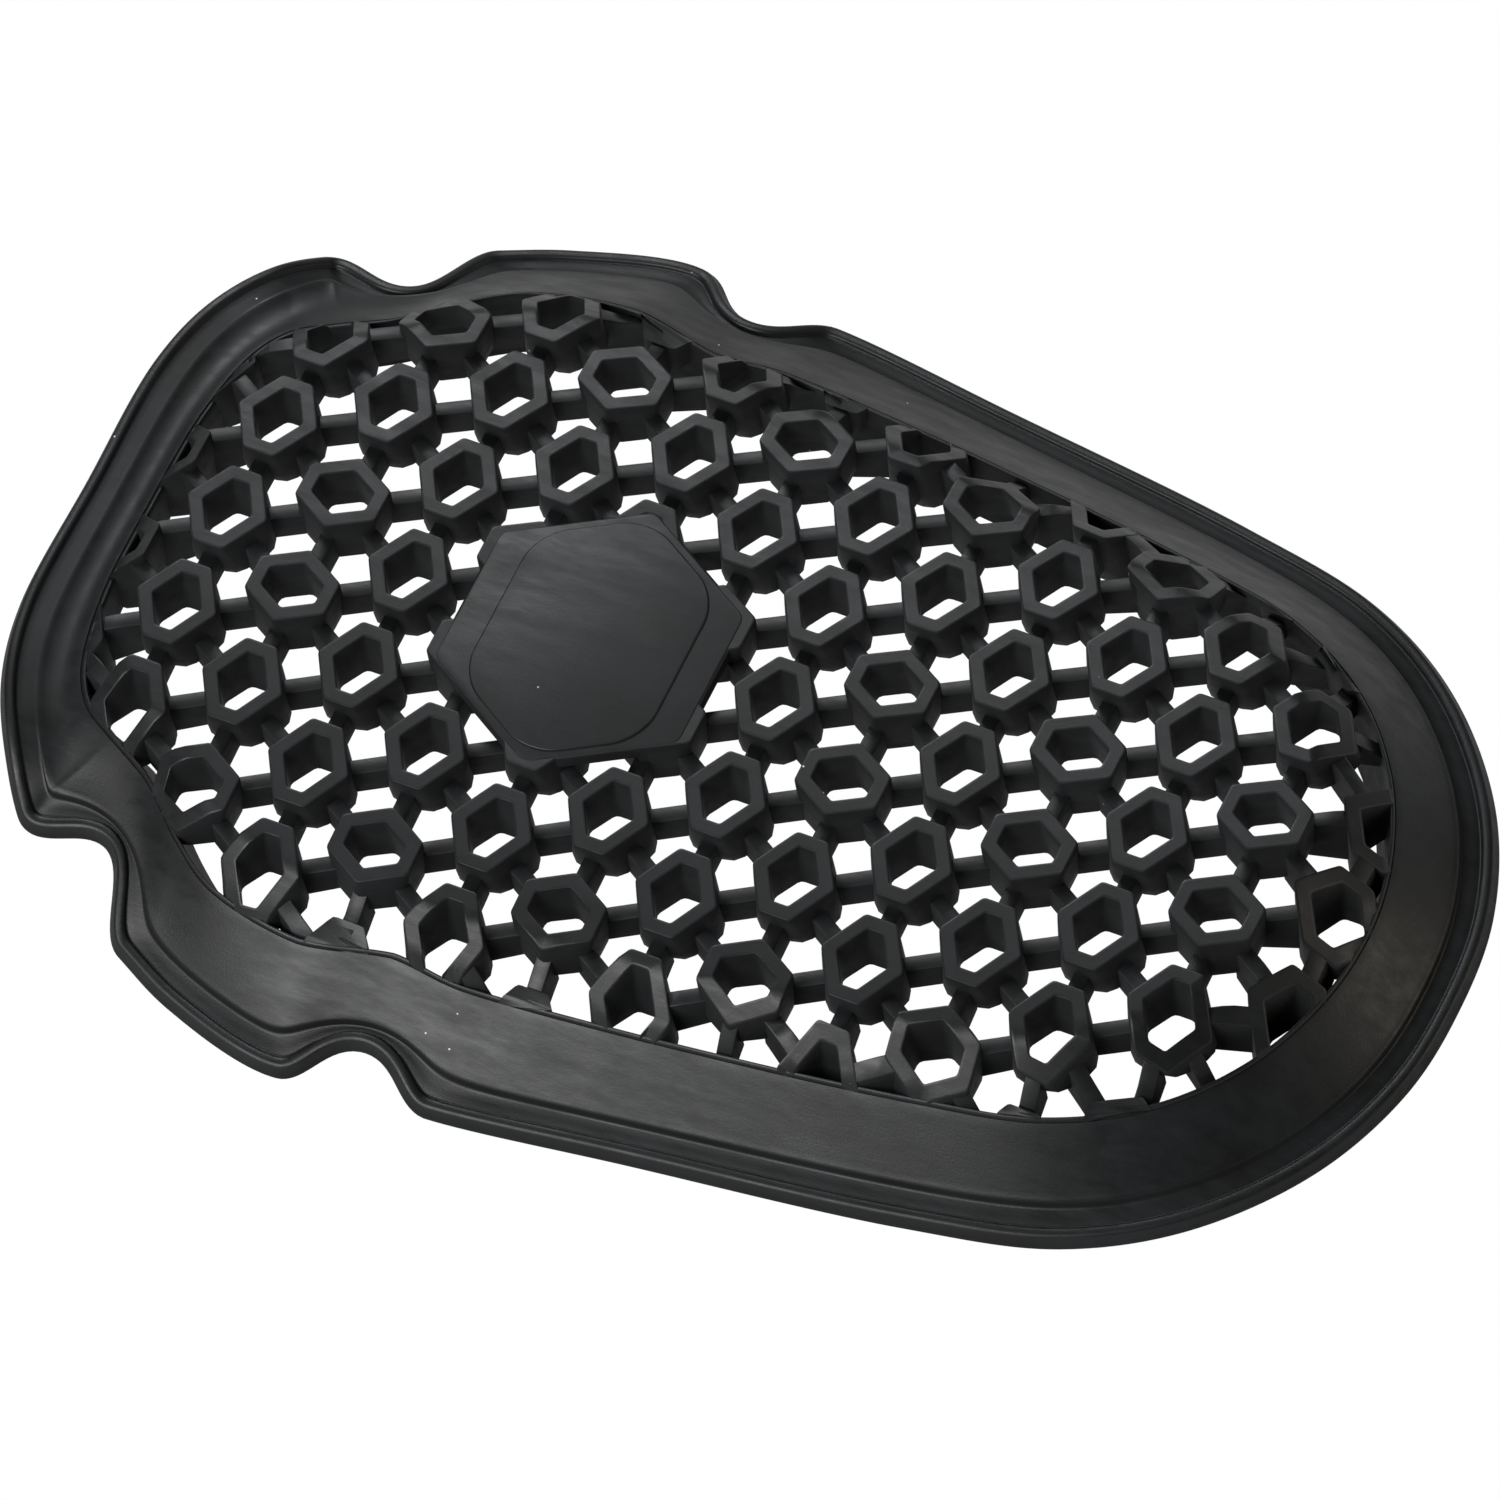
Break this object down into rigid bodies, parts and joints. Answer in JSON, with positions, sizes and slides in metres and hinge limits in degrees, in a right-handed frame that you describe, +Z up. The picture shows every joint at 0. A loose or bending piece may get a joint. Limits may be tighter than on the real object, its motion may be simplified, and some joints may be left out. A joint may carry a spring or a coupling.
{
  "type": "hip pad",
  "caption": "Moulded rubber hip pad: a low crown of hexagonal tubes joined by ribs, a flat plate on top and a sloping flange with a sewing channel and notches.",
  "frame": {"origin": "middle of the pad's length and width, on the plane that the rim stands on", "axes": "+X along the pad to its round end, -X to the raised head end, +Y across it, +Z up through the crown"},
  "size_m": [0.2114, 0.1422, 0.0214],
  "materials": {
    "rubber": "satin"
  },
  "bodies": {
    "root": {"pad_moulding": "rubber"}
  },
  "joints": []
}
